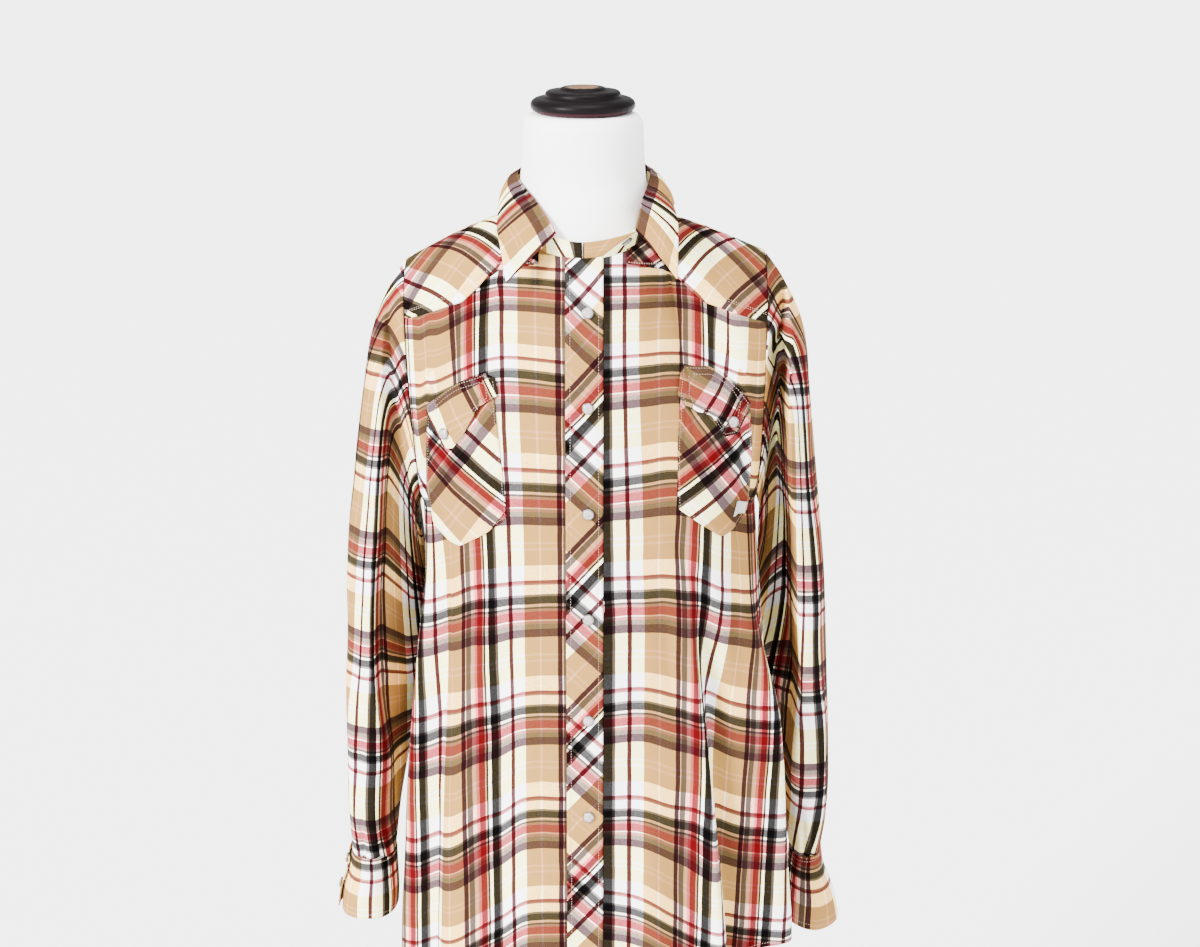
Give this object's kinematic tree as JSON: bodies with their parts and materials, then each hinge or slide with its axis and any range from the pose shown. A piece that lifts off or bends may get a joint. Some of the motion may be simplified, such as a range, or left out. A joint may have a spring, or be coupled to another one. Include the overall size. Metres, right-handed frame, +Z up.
{
  "type": "western snap shirt on a dress form",
  "caption": "Long-sleeved plaid western shirt with pointed yokes, flap chest pockets, turned collar and pearl snaps, hanging on a limbless dress form with neck cap, pole and round base.",
  "frame": {"origin": "on the floor, under the middle of the stand's base", "axes": "+Z up; the shirt faces -Y; +X is the wearer's left"},
  "size_m": [0.524, 0.37, 1.5186],
  "materials": {
    "flannel": "brushed plaid flannel: cream, tan, red and charcoal",
    "flannel_bias": "the same flannel cut on the bias",
    "label": "plain woven tab",
    "pearl": "pearl cap in a metal ring",
    "form_cloth": "stretched white jersey",
    "black_wood": "worn black lacquer",
    "black_metal": "satin black"
  },
  "bodies": {
    "root": {"front_left": "flannel", "front_right": "flannel", "back": "flannel", "sleeve_left": "flannel", "sleeve_right": "flannel", "cuff_left": "flannel", "cuff_right": "flannel", "collar_leaf": "flannel", "collar_stand": "flannel", "back_yoke": "flannel_bias", "front_yoke_left": "flannel_bias", "front_yoke_right": "flannel_bias", "placket": "flannel_bias", "pocket_left": "flannel_bias", "pocket_right": "flannel_bias", "pocket_flap_left": "flannel_bias", "pocket_flap_right": "flannel_bias", "pocket_tab": "label", "snap_collar": "pearl", "snap_front_1": "pearl", "snap_front_2": "pearl", "snap_front_3": "pearl", "snap_front_4": "pearl", "snap_front_5": "pearl", "snap_front_6": "pearl", "snap_flap_left": "pearl", "snap_flap_right": "pearl", "snap_cuff_left_1": "pearl", "snap_cuff_left_2": "pearl", "snap_cuff_right_1": "pearl", "snap_cuff_right_2": "pearl", "form_torso": "form_cloth", "form_cap": "black_wood", "form_pole": "black_metal", "form_base": "black_metal"}
  },
  "joints": []
}
